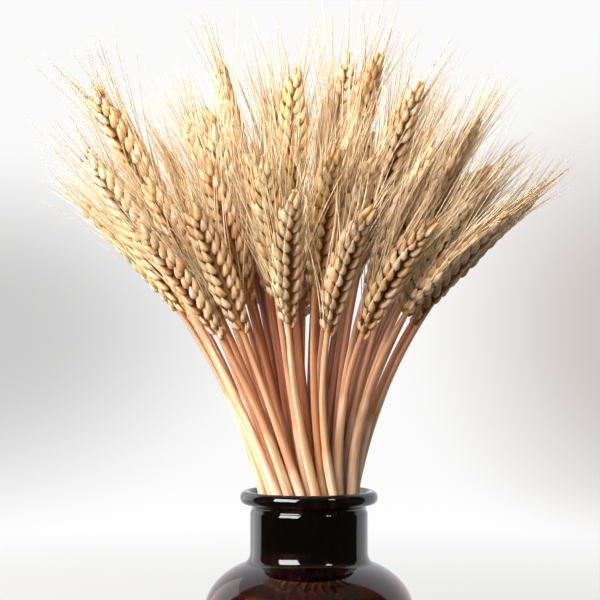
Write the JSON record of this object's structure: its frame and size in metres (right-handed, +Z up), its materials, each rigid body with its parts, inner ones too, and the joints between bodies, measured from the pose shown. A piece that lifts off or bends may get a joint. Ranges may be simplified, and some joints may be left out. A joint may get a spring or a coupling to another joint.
{
  "type": "bunch of wheat ears in a bottle",
  "caption": "Bunch of dried bearded wheat stalks fanned out in a round wide-mouth bottle of dark amber glass with a rolled lip.",
  "frame": {"origin": "centre of the bottle's base, on the surface that it stands on", "axes": "+Z up along the bottle's axis, -Y towards the front of the bunch, +X to its right as seen from the front"},
  "size_m": [0.2731, 0.229, 0.438],
  "materials": {
    "amber_glass": "glossy, nearly black amber glass",
    "wheat_straw": "matt dry straw, pale gold ears on pinkish tan stems"
  },
  "bodies": {
    "root": {"bottle": "amber_glass", "wheat_stalk_01": "wheat_straw", "wheat_stalk_02": "wheat_straw", "wheat_stalk_03": "wheat_straw", "wheat_stalk_04": "wheat_straw", "wheat_stalk_05": "wheat_straw", "wheat_stalk_06": "wheat_straw", "wheat_stalk_07": "wheat_straw", "wheat_stalk_08": "wheat_straw", "wheat_stalk_09": "wheat_straw", "wheat_stalk_10": "wheat_straw", "wheat_stalk_11": "wheat_straw", "wheat_stalk_12": "wheat_straw", "wheat_stalk_13": "wheat_straw", "wheat_stalk_14": "wheat_straw", "wheat_stalk_15": "wheat_straw", "wheat_stalk_16": "wheat_straw", "wheat_stalk_17": "wheat_straw", "wheat_stalk_18": "wheat_straw", "wheat_stalk_19": "wheat_straw", "wheat_stalk_20": "wheat_straw", "wheat_stalk_21": "wheat_straw", "wheat_stalk_22": "wheat_straw", "wheat_stalk_23": "wheat_straw", "wheat_stalk_24": "wheat_straw", "wheat_stalk_25": "wheat_straw", "wheat_stalk_26": "wheat_straw", "wheat_stalk_27": "wheat_straw", "wheat_stalk_28": "wheat_straw", "wheat_stalk_29": "wheat_straw", "wheat_stalk_30": "wheat_straw", "wheat_stalk_31": "wheat_straw", "wheat_stalk_32": "wheat_straw", "wheat_stalk_33": "wheat_straw", "wheat_stalk_34": "wheat_straw", "wheat_stalk_35": "wheat_straw", "wheat_stalk_36": "wheat_straw", "wheat_stalk_37": "wheat_straw", "wheat_stalk_38": "wheat_straw", "wheat_stalk_39": "wheat_straw", "wheat_stalk_40": "wheat_straw", "wheat_stalk_41": "wheat_straw", "wheat_stalk_42": "wheat_straw", "wheat_stalk_43": "wheat_straw", "wheat_stalk_44": "wheat_straw", "wheat_stalk_45": "wheat_straw", "wheat_stalk_46": "wheat_straw", "wheat_stalk_47": "wheat_straw", "wheat_stalk_48": "wheat_straw", "wheat_stalk_49": "wheat_straw", "wheat_stalk_50": "wheat_straw", "wheat_stalk_51": "wheat_straw", "wheat_stalk_52": "wheat_straw", "wheat_stalk_53": "wheat_straw", "wheat_stalk_54": "wheat_straw", "wheat_stalk_55": "wheat_straw", "wheat_stalk_56": "wheat_straw", "wheat_stalk_57": "wheat_straw", "wheat_stalk_58": "wheat_straw", "wheat_stalk_59": "wheat_straw"}
  },
  "joints": []
}
